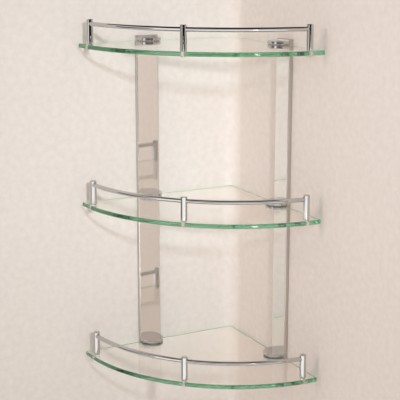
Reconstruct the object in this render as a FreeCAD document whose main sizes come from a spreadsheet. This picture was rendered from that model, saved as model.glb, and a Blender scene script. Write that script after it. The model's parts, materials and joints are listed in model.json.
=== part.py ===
import FreeCAD, Part
import os

import Sketcher
from FreeCAD import Vector

# A three-tier glass corner shelf, hung from two polished uprights on the two walls of a room corner.
# The corner line of the room is the Z axis. The left wall is the plane x = 0, the right wall is y = 0,
# and the shelf fills x > 0, y < 0. Z is 0 at the underside of the lowest glass. Lengths are millimetres.

# Driving sizes, one cell of the sheet each
SIZES = {
    # Glass
    "shelf_reach": 250,  # corner line to the round front edge
    "shelf_spacing": 224,  # from one glass to the next
    "glass_thickness": 6,
    "glass_clearance": 0.5,  # straight back edge to the face of the upright
    "glass_edge_radius": 1.8,  # the rounded polish along every outer edge
    "tip_radius": 2,  # the two ends of the front edge
    "nip_radius": 4,  # the rear corner, clear of the room's corner
    # Posts and rail
    "post_diameter": 9,
    "post_height": 33,
    "post_chamfer": 0.6,
    "post_inset": 10,  # post axis to the front edge of the glass
    "post_wall_distance": 24,  # end post axis to its wall
    "rail_diameter": 6,
    "rail_drop": 6,  # rail axis below the top of the post
    "rail_insert": 2,  # rail end past the axis of an end post
    "rail_clearance": 0.15,
    # Pads, bushes, washers and screws under the glass
    "pad_thickness": 0.5,
    "post_pad_inset": 0.5,  # pad edge inside the edge of the post
    "bush_wall": 1.3,
    "bush_clearance": 0.1,
    "washer_diameter": 10,
    "washer_thickness": 0.5,
    "screw_diameter": 4,
    "screw_clearance": 0.15,
    "thread_clearance": 0.05,
    "screw_head_diameter": 8,
    "screw_head_height": 1.3,
    "screw_head_radius": 0.8,  # the rounded edge of the low pan head
    "post_thread": 9,  # screw length inside a post
    "thread_runout": 0.8,  # blind hole past the end of its screw
    # Uprights: folded trays with their open side to the wall
    "channel_width": 34,
    "channel_depth": 6,
    "channel_offset": 145,  # corner line to the middle of the upright
    "channel_head": 2,  # above the highest clamp
    "channel_tail": 2,  # below the lowest clamp
    "sheet_thickness": 1,
    "bend_inner_radius": 0.3,
    # Clamps: half-moon plates above and below the glass
    "clamp_upper_thickness": 4.5,
    "clamp_lower_thickness": 2,
    "clamp_straight": 5,  # straight sides before the round nose
    "clamp_edge_radius": 0.8,
    "clamp_pad_inset": 1,  # pad edge inside the edge of the plate
    "tongue_width": 20,
    "tongue_thickness": 2,
    "tongue_proud": 1,  # tongue end past the inside of the upright
    "tongue_clearance": 0.1,
    "boss_diameter": 6,
    "boss_reach": 11,  # boss axis to the face of the upright
    "boss_end_gap": 0.3,  # boss end to the underside of the glass
    "clamp_screw_diameter": 3,
    "clamp_screw_length": 8,
    "clamp_head_diameter": 5.6,
    "clamp_head_land": 0.2,  # straight rim of the countersunk head
    # Brackets on the wall inside the uprights
    "bracket_height": 40,
    "bracket_end_distance": 57.75,  # middle of a bracket to the end of the upright
    "bracket_side_gap": 0.15,
    "bracket_face_gap": 0.2,
    "bracket_corner_radius": 4,
    "bracket_edge_radius": 0.5,
    "wall_hole_diameter": 5,
    "countersink_diameter": 9.6,
    "set_screw_diameter": 3,
    "set_screw_length": 8,
}

LEVELS = ("bottom", "middle", "top")
SIDES = ("left", "right")

doc = FreeCAD.newDocument("GlassCornerShelf")
sheet = doc.addObject("Spreadsheet::Sheet", "Sizes")
for row, (alias, millimetres) in enumerate(SIZES.items(), 1):
    sheet.set(f"A{row}", alias)
    sheet.set(f"B{row}", str(millimetres))
    sheet.setAlias(f"B{row}", alias)
doc.recompute()


def size(name):
    """The expression that reads one driving size."""
    return f"Sizes.{name}"


def amount(expression):
    """The present value of an expression, as a plain number."""
    result = sheet.evalExpression(expression)
    return float(getattr(result, "Value", result))


# Places and sizes that several pieces share
TOP_LEVEL = f"({len(LEVELS) - 1} * {size('shelf_spacing')})"
SEAT = f"({size('glass_thickness')} + {size('pad_thickness')})"
CLAMP_FOOT = f"(-{size('pad_thickness')} - {size('clamp_lower_thickness')})"
CHANNEL_BASE = f"({CLAMP_FOOT} - {size('channel_tail')})"
CHANNEL_TOP = f"({TOP_LEVEL} + {SEAT} + {size('clamp_upper_thickness')} + {size('channel_head')})"
HALF_WIDTH = f"({size('channel_width')} / 2)"
BEND_RADIUS = f"({size('bend_inner_radius')} + {size('sheet_thickness')})"
WEB_BACK = f"({size('channel_depth')} - {size('sheet_thickness')})"
GLASS_BACK = f"({size('channel_depth')} + {size('glass_clearance')})"
GLASS_RADIUS = f"({size('shelf_reach')} - {GLASS_BACK})"
RAIL_RADIUS = f"({GLASS_RADIUS} - {size('post_inset')})"
END_POST_OFFSET = f"({size('post_wall_distance')} - {GLASS_BACK})"
END_POST_ANGLE = f"asin({END_POST_OFFSET} / {RAIL_RADIUS})"
END_POST_REACH = f"({GLASS_BACK} + sqrt({RAIL_RADIUS}^2 - {END_POST_OFFSET}^2))"
CENTRE_POST_REACH = f"({GLASS_BACK} + {RAIL_RADIUS} * sqrt(0.5))"
SCREW_BORE = f"({size('screw_diameter')} + 2 * {size('screw_clearance')})"
SCREW_TAPPING = f"({size('screw_diameter')} + 2 * {size('thread_clearance')})"
BOSS_BORE = f"({size('boss_diameter')} + 2 * {size('screw_clearance')})"
BOSS_LENGTH = f"({SEAT} - {size('boss_end_gap')})"
BOSS_THREAD = f"({CLAMP_FOOT} + {size('clamp_screw_length')} - {size('boss_end_gap')})"
BOSS_REACH = f"({size('channel_depth')} + {size('boss_reach')})"
CLAMP_SCREW_BORE = f"({size('clamp_screw_diameter')} + 2 * {size('screw_clearance')})"
CLAMP_SCREW_TAPPING = f"({size('clamp_screw_diameter')} + 2 * {size('thread_clearance')})"
CLAMP_HEAD_CONE = f"(({size('clamp_head_diameter')} - {size('clamp_screw_diameter')}) / 2)"
CLAMP_HEAD_SPREAD = f"({size('clamp_head_diameter')} / 2 + {size('clamp_head_land')})"
CLAMP_COUNTERSINK = f"({CLAMP_HEAD_SPREAD} + {size('thread_clearance')} - {CLAMP_SCREW_BORE} / 2)"
TONGUE_HALF = f"({size('tongue_width')} / 2)"
TONGUE_LENGTH = f"({size('sheet_thickness')} + {size('tongue_proud')})"
BRACKET_DEPTH = f"({WEB_BACK} - {size('bracket_face_gap')})"
BRACKET_HALF_WIDTH = f"({HALF_WIDTH} - {size('sheet_thickness')} - {size('bracket_side_gap')})"
SET_SCREW_END = f"({HALF_WIDTH} - {size('set_screw_length')})"
SET_SCREW_DEPTH = f"({BRACKET_DEPTH} / 2)"
SET_SCREW_BORE = f"({size('set_screw_diameter')} + 2 * {size('screw_clearance')})"
SET_SCREW_TAPPING = f"({size('set_screw_diameter')} + 2 * {size('thread_clearance')})"
BRACKET_HEIGHTS = {
    "lower": f"({CHANNEL_BASE} + {size('bracket_end_distance')})",
    "upper": f"({CHANNEL_TOP} - {size('bracket_end_distance')})",
}

# Underside of each clamp plate, from the underside of its glass
CLAMP_HEIGHTS = {"upper": SEAT, "lower": CLAMP_FOOT}

# Hole places in the plane of a glass: distance along the left wall, then along the right wall
POST_PLACES = (
    (END_POST_REACH, size("post_wall_distance")),
    (CENTRE_POST_REACH, CENTRE_POST_REACH),
    (size("post_wall_distance"), END_POST_REACH),
)
CLAMP_PLACES = ((size("channel_offset"), BOSS_REACH), (BOSS_REACH, size("channel_offset")))


def level_height(level):
    """The height of the underside of one glass."""
    return f"({LEVELS.index(level)} * {size('shelf_spacing')})"


def bush_diameter(bore):
    """The outside of the bush around a bore."""
    return f"({bore} + 2 * {size('bush_wall')})"


def glass_hole(bore):
    """The hole in the glass for the bush around a bore."""
    return f"({bush_diameter(bore)} + 2 * {size('bush_clearance')})"


def new_body(label):
    """An empty body whose label names its piece."""
    body = doc.addObject("PartDesign::Body", label)
    body.Label = label
    return body


def place(body, across, along, height, turn):
    """Put a body at a point of the room, turned about the vertical."""
    where = f"vector({across}; {along}; {height})"
    body.setExpression("Placement", f"placement({where}; rotation(vector(0; 0; 1); {turn}))")


def place_on_glass(body, level):
    """Turn a body drawn along the two walls into the room corner, at the height of one shelf."""
    place(body, "0", "0", level_height(level), "-90")


def place_on_wall(body, side, height, off_wall="0"):
    """Set a body drawn across an upright, out of its wall and up, on the left or right wall."""
    if side == "left":
        place(body, off_wall, f"-{size('channel_offset')}", height, "-90")
    else:
        place(body, size("channel_offset"), f"-{off_wall}", height, "180")


def new_sketch(body, name, plane_role, offset="0"):
    """A sketch on one of the body's own origin planes, moved along the plane's normal."""
    sketch = body.newObject("Sketcher::SketchObject", f"{body.Name}_{name}")
    plane = next(feature for feature in body.Origin.OriginFeatures if feature.Role == plane_role)
    sketch.AttachmentSupport = [(plane, "")]
    sketch.MapMode = "FlatFace"
    sketch.setExpression("AttachmentOffset.Base.z", offset)
    return sketch


def bind(sketch, kind, where, expression):
    """Add a dimension that follows an expression."""
    index = sketch.addConstraint(Sketcher.Constraint(kind, *where, amount(expression)))
    sketch.setExpression(f"Constraints[{index}]", expression)


def pin(sketch, geometry, vertex, across, up):
    """Hold one vertex at a distance from the sketch's origin, or on its axes."""
    for kind, axis, expression in (("DistanceX", -2, across), ("DistanceY", -1, up)):
        if expression == "0":
            sketch.addConstraint(Sketcher.Constraint("PointOnObject", geometry, vertex, axis))
        else:
            bind(sketch, kind, (-1, 1, geometry, vertex), expression)


def draw_circle(sketch, across, up, diameter):
    """A circle that follows its place and diameter."""
    centre = Vector(amount(across), amount(up), 0)
    circle = sketch.addGeometry(Part.Circle(centre, Vector(0, 0, 1), amount(diameter) / 2))
    pin(sketch, circle, 3, across, up)
    bind(sketch, "Diameter", (circle,), diameter)


def draw_outline(sketch, corners):
    """A closed straight-sided outline that follows its corners."""
    points = [Vector(amount(across), amount(up), 0) for across, up in corners]
    after = points[1:] + points[:1]
    lines = [sketch.addGeometry(Part.LineSegment(here, there)) for here, there in zip(points, after)]
    for line, following in zip(lines, lines[1:] + lines[:1]):
        sketch.addConstraint(Sketcher.Constraint("Coincident", line, 2, following, 1))
    for line, (across, up) in zip(lines, corners):
        pin(sketch, line, 1, across, up)


def draw_rectangle(sketch, left, right, low, high):
    """A rectangle between four distances from the sketch's origin."""
    draw_outline(sketch, [(left, low), (right, low), (right, high), (left, high)])


def extrude(body, kind, sketch, length=None, backward=False):
    """Pad or pocket a sketch by a length, or through all where no length is given."""
    feature = body.newObject(f"PartDesign::{kind}", f"{sketch.Name}_{kind}")
    feature.Profile = sketch
    feature.Reversed = backward
    if length is None:
        feature.Type = "ThroughAll"
    else:
        feature.setExpression("Length", length)
    before = feature.BaseFeature.Shape.Volume if feature.BaseFeature else 0
    doc.recompute()
    if abs(feature.Shape.Volume - before) < 1e-6:
        raise RuntimeError(f"{feature.Name} changes nothing")
    return feature


def dress_edges(body, kind, name, expression, chosen):
    """Fillet or chamfer the edges of the body's tip that a test chooses."""
    base = body.Tip
    edges = [f"Edge{number}" for number, edge in enumerate(base.Shape.Edges, 1) if chosen(edge)]
    feature = body.newObject(f"PartDesign::{kind}", f"{body.Name}_{name}")
    feature.Base = (base, edges)
    feature.setExpression("Radius" if kind == "Fillet" else "Size", expression)
    doc.recompute()
    return feature


def lies_at(edge, axis, distance):
    """Whether a whole edge lies in the plane at a distance along one axis of its body."""
    box = edge.BoundBox
    low = getattr(box, f"{axis}Min")
    high = getattr(box, f"{axis}Max")
    return abs(low - distance) < 1e-4 and abs(high - distance) < 1e-4


def is_upright(edge):
    """Whether an edge is a straight vertical line."""
    return edge.BoundBox.XLength < 1e-4 and edge.BoundBox.YLength < 1e-4


# Glass shelves: quarter discs that stop short of both walls


def make_glass(level):
    body = new_body(f"glass_shelf_{level}")
    reach = amount(size("shelf_reach"))
    back = amount(GLASS_BACK)
    halfway = back + amount(GLASS_RADIUS) * 0.5**0.5
    outline = new_sketch(body, "outline", "XY_Plane")
    corner = Vector(back, back, 0)
    near_tip = Vector(reach, back, 0)
    far_tip = Vector(back, reach, 0)
    outline.addGeometry(Part.LineSegment(corner, near_tip))
    outline.addGeometry(Part.Arc(near_tip, Vector(halfway, halfway, 0), far_tip))
    outline.addGeometry(Part.LineSegment(far_tip, corner))
    outline.addConstraint(Sketcher.Constraint("Coincident", 0, 2, 1, 1))
    outline.addConstraint(Sketcher.Constraint("Coincident", 1, 2, 2, 1))
    outline.addConstraint(Sketcher.Constraint("Coincident", 2, 2, 0, 1))
    outline.addConstraint(Sketcher.Constraint("Coincident", 1, 3, 0, 1))
    outline.addConstraint(Sketcher.Constraint("Horizontal", 0))
    outline.addConstraint(Sketcher.Constraint("Vertical", 2))
    pin(outline, 0, 1, GLASS_BACK, GLASS_BACK)
    bind(outline, "Radius", (1,), GLASS_RADIUS)
    extrude(body, "Pad", outline, size("glass_thickness"))

    def at_rear_corner(edge):
        return is_upright(edge) and abs(edge.BoundBox.XMin - edge.BoundBox.YMin) < 1e-4

    def at_tips(edge):
        return is_upright(edge) and max(edge.BoundBox.XMin, edge.BoundBox.YMin) > reach / 2

    dress_edges(body, "Fillet", "nip", size("nip_radius"), at_rear_corner)
    dress_edges(body, "Fillet", "tips", size("tip_radius"), at_tips)

    def along_outside(edge):
        return not is_upright(edge) and edge.BoundBox.ZLength < 1e-4

    dress_edges(body, "Fillet", "polish", size("glass_edge_radius"), along_outside)
    holes = new_sketch(body, "holes", "XY_Plane")
    for places, bore in ((POST_PLACES, SCREW_BORE), (CLAMP_PLACES, BOSS_BORE)):
        for across, up in places:
            draw_circle(holes, across, up, glass_hole(bore))
    extrude(body, "Pocket", holes, backward=True)
    place_on_glass(body, level)


# Gallery rail: a round bar bent about the rear corner of its glass, and the turned posts that carry it


def make_rail(level):
    body = new_body(f"gallery_rail_{level}")
    section = new_sketch(body, "section", "XZ_Plane")
    draw_circle(section, RAIL_RADIUS, "0", size("rail_diameter"))
    bend = body.newObject("PartDesign::Revolution", f"{body.Name}_bend")
    bend.Profile = section
    bend.ReferenceAxis = (section, ["V_Axis"])
    bend.Midplane = True
    insert_angle = f"asin({size('rail_insert')} / {RAIL_RADIUS})"
    bend.setExpression("Angle", f"90 deg - 2 * {END_POST_ANGLE} + 2 * {insert_angle}")
    height = f"{level_height(level)} + {SEAT} + {size('post_height')} - {size('rail_drop')}"
    place(body, GLASS_BACK, f"-{GLASS_BACK}", height, "-45")
    doc.recompute()


def make_post(position, level):
    body = new_body(f"rail_post_{position}_{level}")
    radius = f"{size('post_diameter')} / 2"
    bore = f"{SCREW_TAPPING} / 2"
    bore_depth = f"{size('post_thread')} + {size('thread_runout')}"
    shoulder = f"{size('post_height')} - {size('post_chamfer')}"
    profile = new_sketch(body, "profile", "XZ_Plane")
    draw_outline(
        profile,
        [
            (bore, "0"),
            (radius, "0"),
            (radius, shoulder),
            (f"{radius} - {size('post_chamfer')}", size("post_height")),
            ("0", size("post_height")),
            ("0", bore_depth),
            (bore, bore_depth),
        ],
    )
    turned = body.newObject("PartDesign::Revolution", f"{body.Name}_turned")
    turned.Profile = profile
    turned.ReferenceAxis = (profile, ["V_Axis"])
    doc.recompute()

    # The rail runs through the centre post and ends just past the axis of an end post
    blind_end = f"{size('rail_insert')} + {size('rail_clearance')}"
    start = size("post_diameter") if position == "centre" else blind_end
    socket = new_sketch(body, "socket", "XZ_Plane", start)
    socket_diameter = f"{size('rail_diameter')} + 2 * {size('rail_clearance')}"
    draw_circle(socket, "0", f"{size('post_height')} - {size('rail_drop')}", socket_diameter)
    extrude(body, "Pocket", socket)

    angle = {
        "left": f"({END_POST_ANGLE} - 90 deg)",
        "centre": "(-45 deg)",
        "right": f"(-{END_POST_ANGLE})",
    }[position]
    turn = f"{angle} + 180 deg" if position == "right" else angle
    across = f"{GLASS_BACK} + {RAIL_RADIUS} * cos({angle})"
    along = f"{RAIL_RADIUS} * sin({angle}) - {GLASS_BACK}"
    place(body, across, along, f"{level_height(level)} + {SEAT}", turn)


# Rings around the screws, and what holds the posts: each kind is one group for one shelf


def make_rings(label, level, places, outer, inner, start, thickness):
    body = new_body(f"{label}_{level}")
    rings = new_sketch(body, "rings", "XY_Plane", start)
    for across, up in places:
        draw_circle(rings, across, up, outer)
        draw_circle(rings, across, up, inner)
    extrude(body, "Pad", rings, thickness)
    place_on_glass(body, level)


def make_post_screws(level):
    body = new_body(f"post_screws_{level}")
    head_start = f"-({size('washer_thickness')} + {size('screw_head_height')})"
    heads = new_sketch(body, "heads", "XY_Plane", head_start)
    for across, up in POST_PLACES:
        draw_circle(heads, across, up, size("screw_head_diameter"))
    extrude(body, "Pad", heads, size("screw_head_height"))
    lowest = amount(head_start)
    dress_edges(body, "Fillet", "domes", size("screw_head_radius"), lambda edge: lies_at(edge, "Z", lowest))
    shanks = new_sketch(body, "shanks", "XY_Plane", f"-{size('washer_thickness')}")
    for across, up in POST_PLACES:
        draw_circle(shanks, across, up, size("screw_diameter"))
    extrude(body, "Pad", shanks, f"{size('washer_thickness')} + {SEAT} + {size('post_thread')}")
    place_on_glass(body, level)


def make_post_fixings(level):
    """The stack that holds the posts of one shelf, from the pads down to the screws."""
    glass = size("glass_thickness")
    washer = size("washer_thickness")
    pad_diameter = f"{size('post_diameter')} - 2 * {size('post_pad_inset')}"
    make_rings("post_pads", level, POST_PLACES, pad_diameter, SCREW_BORE, glass, size("pad_thickness"))
    make_rings("post_bushes", level, POST_PLACES, bush_diameter(SCREW_BORE), SCREW_BORE, "0", glass)
    make_rings("post_washers", level, POST_PLACES, size("washer_diameter"), SCREW_BORE, f"-{washer}", washer)
    make_post_screws(level)


# Clamps: an upper and a lower half-moon plate on each upright, drawn together through the glass


def draw_half_moon(sketch, half_width, back):
    """An outline with a straight back, straight sides and a round nose."""
    half = amount(half_width)
    rear = amount(back)
    straight = amount(size("clamp_straight"))
    rear_left = Vector(-half, rear, 0)
    rear_right = Vector(half, rear, 0)
    nose_right = Vector(half, straight, 0)
    nose_left = Vector(-half, straight, 0)
    sketch.addGeometry(Part.LineSegment(rear_left, rear_right))
    sketch.addGeometry(Part.LineSegment(rear_right, nose_right))
    sketch.addGeometry(Part.Arc(nose_right, Vector(0, straight + half, 0), nose_left))
    sketch.addGeometry(Part.LineSegment(nose_left, rear_left))
    for here, there in ((0, 1), (1, 2), (2, 3), (3, 0)):
        sketch.addConstraint(Sketcher.Constraint("Coincident", here, 2, there, 1))
    pin(sketch, 0, 1, f"-{half_width}", back)
    pin(sketch, 1, 1, half_width, back)
    pin(sketch, 2, 1, half_width, size("clamp_straight"))
    pin(sketch, 3, 1, f"-{half_width}", size("clamp_straight"))
    bind(sketch, "DistanceY", (-1, 1, 2, 3), size("clamp_straight"))


def make_clamp(jaw, side, level):
    body = new_body(f"clamp_{jaw}_{side}_{level}")
    outline = new_sketch(body, "outline", "XY_Plane")
    draw_half_moon(outline, HALF_WIDTH, "0")
    thickness = size(f"clamp_{jaw}_thickness")
    extrude(body, "Pad", outline, thickness)
    upper_face = amount(thickness)

    def around_nose(edge):
        level_edge = lies_at(edge, "Z", 0) or lies_at(edge, "Z", upper_face)
        return level_edge and not lies_at(edge, "Y", 0)

    dress_edges(body, "Fillet", "edges", size("clamp_edge_radius"), around_nose)
    tongue = new_sketch(body, "tongue", "XY_Plane")
    draw_rectangle(tongue, f"-{TONGUE_HALF}", TONGUE_HALF, f"-{TONGUE_LENGTH}", "0")
    extrude(body, "Pad", tongue, size("tongue_thickness"))
    if jaw == "upper":
        # A threaded boss hangs into the glass
        boss = new_sketch(body, "boss", "XY_Plane", f"-{BOSS_LENGTH}")
        draw_circle(boss, "0", size("boss_reach"), size("boss_diameter"))
        extrude(body, "Pad", boss, BOSS_LENGTH)
        thread = new_sketch(body, "thread", "XY_Plane", f"-{BOSS_LENGTH}")
        draw_circle(thread, "0", size("boss_reach"), CLAMP_SCREW_TAPPING)
        extrude(body, "Pocket", thread, f"{BOSS_THREAD} + {size('thread_runout')}", backward=True)
    else:
        # A countersunk hole lets the screw up into that boss
        hole = new_sketch(body, "screw_hole", "XY_Plane")
        draw_circle(hole, "0", size("boss_reach"), CLAMP_SCREW_BORE)
        extrude(body, "Pocket", hole, backward=True)
        bore = amount(CLAMP_SCREW_BORE)

        def hole_mouth(edge):
            return lies_at(edge, "Z", 0) and edge.BoundBox.XLength < bore + 1e-4

        dress_edges(body, "Chamfer", "countersink", CLAMP_COUNTERSINK, hole_mouth)
    place_on_wall(body, side, f"{level_height(level)} + {CLAMP_HEIGHTS[jaw]}", size("channel_depth"))


def make_clamp_pads(side):
    body = new_body(f"clamp_pads_{side}")
    half_width = f"({HALF_WIDTH} - {size('clamp_pad_inset')})"
    for level in LEVELS:
        for face, start in (("above", size("glass_thickness")), ("below", f"-{size('pad_thickness')}")):
            outline = new_sketch(body, f"{face}_{level}", "XY_Plane", f"{level_height(level)} + {start}")
            draw_half_moon(outline, half_width, size("glass_clearance"))
            draw_circle(outline, "0", size("boss_reach"), BOSS_BORE)
            extrude(body, "Pad", outline, size("pad_thickness"))
    place_on_wall(body, side, "0", size("channel_depth"))


def make_clamp_screws(level):
    body = new_body(f"clamp_screws_{level}")
    heads = new_sketch(body, "heads", "XY_Plane", CLAMP_FOOT)
    for across, up in CLAMP_PLACES:
        draw_circle(heads, across, up, size("clamp_head_diameter"))
    head_height = f"({size('clamp_head_land')} + {CLAMP_HEAD_CONE})"
    extrude(body, "Pad", heads, head_height)
    neck = amount(f"{CLAMP_FOOT} + {head_height}")
    dress_edges(body, "Chamfer", "cones", CLAMP_HEAD_CONE, lambda edge: lies_at(edge, "Z", neck))
    shanks = new_sketch(body, "shanks", "XY_Plane", CLAMP_FOOT)
    for across, up in CLAMP_PLACES:
        draw_circle(shanks, across, up, size("clamp_screw_diameter"))
    extrude(body, "Pad", shanks, size("clamp_screw_length"))
    place_on_glass(body, level)


# Uprights, slotted for the tongues of the clamps


def make_channel(side):
    body = new_body(f"wall_channel_{side}")
    outline = new_sketch(body, "outline", "XZ_Plane")
    draw_rectangle(outline, f"-{HALF_WIDTH}", HALF_WIDTH, CHANNEL_BASE, CHANNEL_TOP)
    extrude(body, "Pad", outline, size("channel_depth"), backward=True)
    face = amount(size("channel_depth"))
    dress_edges(body, "Fillet", "bends", BEND_RADIUS, lambda edge: lies_at(edge, "Y", face))

    inner_half = f"({HALF_WIDTH} - {size('sheet_thickness')})"
    lower_end = f"({CHANNEL_BASE} + {size('sheet_thickness')})"
    upper_end = f"({CHANNEL_TOP} - {size('sheet_thickness')})"
    hollow = new_sketch(body, "hollow", "XZ_Plane")
    draw_rectangle(hollow, f"-{inner_half}", inner_half, lower_end, upper_end)
    extrude(body, "Pocket", hollow, WEB_BACK)
    back = amount(WEB_BACK)
    inner_radius = size("bend_inner_radius")
    dress_edges(body, "Fillet", "inner_bends", inner_radius, lambda edge: lies_at(edge, "Y", back))

    slots = new_sketch(body, "slots", "XZ_Plane")
    slot_half = f"({TONGUE_HALF} + {size('tongue_clearance')})"
    for level in LEVELS:
        for start in CLAMP_HEIGHTS.values():
            foot = f"{level_height(level)} + {start}"
            low = f"({foot} - {size('tongue_clearance')})"
            high = f"({foot} + {size('tongue_thickness')} + {size('tongue_clearance')})"
            draw_rectangle(slots, f"-{slot_half}", slot_half, low, high)
    extrude(body, "Pocket", slots)
    lock_holes = new_sketch(body, "lock_holes", "YZ_Plane")
    for height in BRACKET_HEIGHTS.values():
        draw_circle(lock_holes, SET_SCREW_DEPTH, height, SET_SCREW_BORE)
    extrude(body, "Pocket", lock_holes, backward=(side == "right"))
    place_on_wall(body, side, "0")


# Brackets on the wall, and the set screws that lock the uprights on them


def make_bracket(side, position):
    body = new_body(f"wall_bracket_{side}_{position}")
    half_height = f"{size('bracket_height')} / 2"
    outline = new_sketch(body, "outline", "XZ_Plane")
    draw_rectangle(outline, f"-{BRACKET_HALF_WIDTH}", BRACKET_HALF_WIDTH, f"-{half_height}", half_height)
    extrude(body, "Pad", outline, BRACKET_DEPTH, backward=True)

    def through_depth(edge):
        return edge.BoundBox.XLength < 1e-4 and edge.BoundBox.ZLength < 1e-4

    dress_edges(body, "Fillet", "corners", size("bracket_corner_radius"), through_depth)
    face = amount(BRACKET_DEPTH)
    edge_radius = size("bracket_edge_radius")
    dress_edges(body, "Fillet", "front_edges", edge_radius, lambda edge: lies_at(edge, "Y", face))
    wall_hole = new_sketch(body, "wall_hole", "XZ_Plane")
    draw_circle(wall_hole, "0", "0", size("wall_hole_diameter"))
    extrude(body, "Pocket", wall_hole)
    hole_radius = amount(size("wall_hole_diameter")) / 2

    def hole_mouth(edge):
        return lies_at(edge, "Y", face) and edge.BoundBox.XLength < 2 * hole_radius + 1e-4

    countersink = f"({size('countersink_diameter')} - {size('wall_hole_diameter')}) / 2"
    dress_edges(body, "Chamfer", "countersink", countersink, hole_mouth)
    inner_end = f"({SET_SCREW_END} - {size('thread_runout')})"
    start = f"-{inner_end}" if side == "left" else inner_end
    lock_hole = new_sketch(body, "lock_hole", "YZ_Plane", start)
    draw_circle(lock_hole, SET_SCREW_DEPTH, "0", SET_SCREW_TAPPING)
    extrude(body, "Pocket", lock_hole, backward=(side == "right"))
    place_on_wall(body, side, BRACKET_HEIGHTS[position])


def make_set_screws(side):
    body = new_body(f"channel_set_screws_{side}")
    start = f"-{SET_SCREW_END}" if side == "left" else SET_SCREW_END
    rounds = new_sketch(body, "rounds", "YZ_Plane", start)
    for height in BRACKET_HEIGHTS.values():
        draw_circle(rounds, SET_SCREW_DEPTH, height, size("set_screw_diameter"))
    extrude(body, "Pad", rounds, size("set_screw_length"), backward=(side == "left"))
    place_on_wall(body, side, "0")


for level in LEVELS:
    make_glass(level)
    make_rail(level)
    for position in ("left", "centre", "right"):
        make_post(position, level)
    make_post_fixings(level)
    for side in SIDES:
        for jaw in CLAMP_HEIGHTS:
            make_clamp(jaw, side, level)
    clamp_bush = bush_diameter(BOSS_BORE)
    make_rings("clamp_bushes", level, CLAMP_PLACES, clamp_bush, BOSS_BORE, "0", size("glass_thickness"))
    make_clamp_screws(level)
for side in SIDES:
    make_channel(side)
    make_clamp_pads(side)
    for position in BRACKET_HEIGHTS:
        make_bracket(side, position)
    make_set_screws(side)
doc.recompute()

# Nothing is written unless every object is sound
for item in doc.Objects:
    if "Invalid" in item.State or "Error" in item.State:
        raise RuntimeError(f"{item.Label} failed: {item.State}")
bodies = [item for item in doc.Objects if item.isDerivedFrom("PartDesign::Body")]
for body in bodies:
    if body.Shape.isNull() or not body.Shape.isValid():
        raise RuntimeError(f"{body.Label} has no sound shape")

os.makedirs("parts", exist_ok=True)
for body in bodies:
    body.Shape.exportStep(f"parts/{body.Label}.step")
    print(f"{body.Label}: {len(body.Shape.Solids)} solids, {body.Shape.Volume:.1f} mm3")
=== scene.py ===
# %% [markdown]
# # Glass corner shelf
# Three quarter-round shelves of clear glass hang in the corner of a room. Two mirror-polished uprights
# hold them at the walls, and a chromed gallery rail on three posts runs round the front of each shelf.
# The shapes come from the construction model, which is loaded here as a fixed frame. What is left to do
# is how each piece takes the light, and the threads and driver recesses of the screws.

# %% Load the construction model
import json
import math

import bmesh
import bpy
from mathutils import Matrix, Vector


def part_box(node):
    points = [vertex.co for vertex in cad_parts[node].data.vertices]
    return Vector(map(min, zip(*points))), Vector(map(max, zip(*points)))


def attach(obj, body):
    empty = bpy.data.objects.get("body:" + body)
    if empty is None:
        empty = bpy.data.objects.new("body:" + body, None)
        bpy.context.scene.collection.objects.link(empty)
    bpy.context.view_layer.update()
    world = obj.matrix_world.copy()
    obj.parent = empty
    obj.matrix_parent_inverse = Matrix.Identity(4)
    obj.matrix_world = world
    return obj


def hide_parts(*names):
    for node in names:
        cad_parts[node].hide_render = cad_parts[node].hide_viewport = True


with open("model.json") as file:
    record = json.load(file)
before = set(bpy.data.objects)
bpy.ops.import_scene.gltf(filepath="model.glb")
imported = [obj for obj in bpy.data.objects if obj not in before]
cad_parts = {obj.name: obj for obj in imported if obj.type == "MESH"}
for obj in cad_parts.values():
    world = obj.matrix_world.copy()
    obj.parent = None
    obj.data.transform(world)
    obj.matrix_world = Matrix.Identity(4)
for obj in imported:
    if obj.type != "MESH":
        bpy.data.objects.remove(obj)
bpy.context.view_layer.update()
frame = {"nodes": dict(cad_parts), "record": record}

MM = 0.001
nodes = frame["nodes"]
scene = bpy.context.scene

# %% [markdown]
# Two helpers serve the whole lesson. Colours are written as the hex values that a paint program shows,
# and shaders want linear light, so one function converts them. The other adds a shader node: it sets the
# node's own options, then fills each socket with a value, or links it if it is given another node's
# socket.

# %% Colour and node helpers
def linear(hex_colour):
    """An sRGB hex colour as linear RGBA."""
    shares = [int(hex_colour[i:i + 2], 16) / 255 for i in (1, 3, 5)]
    return (*((c / 12.92 if c <= 0.04045 else ((c + 0.055) / 1.055) ** 2.4) for c in shares), 1.0)


def add(tree, kind, sockets=None, **options):
    """A new node with its options set, and each socket, by name or number, set or linked."""
    node = tree.nodes.new(kind)
    for name, value in options.items():
        setattr(node, name, value)
    for name, value in (sockets or {}).items():
        if isinstance(value, bpy.types.NodeSocket):
            tree.links.new(value, node.inputs[name])
        else:
            node.inputs[name].default_value = value
    return node


def new_material(name):
    """An empty node material and its tree."""
    material = bpy.data.materials.new(name)
    material.use_nodes = True
    material.node_tree.nodes.clear()
    return material, material.node_tree


print("mid grey in linear light:", round(linear("#808080")[0], 3))

# %% [markdown]
# ## Camera
# The photograph looks down into the corner from a little right of its middle. The lens is long, about
# 100 mm on a 36 mm sensor, so the two uprights stay nearly parallel. The camera's place and turn were
# worked out from the ends of the glass edges and the tops of the posts.

# %% Camera
CAMERA_PLACE = Vector((1444.3, -814.4, 591.4)) * MM
CAMERA_YAW = math.radians(62.35)
CAMERA_PITCH = math.radians(-13.14)
CAMERA_LENS = 100.05

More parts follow.
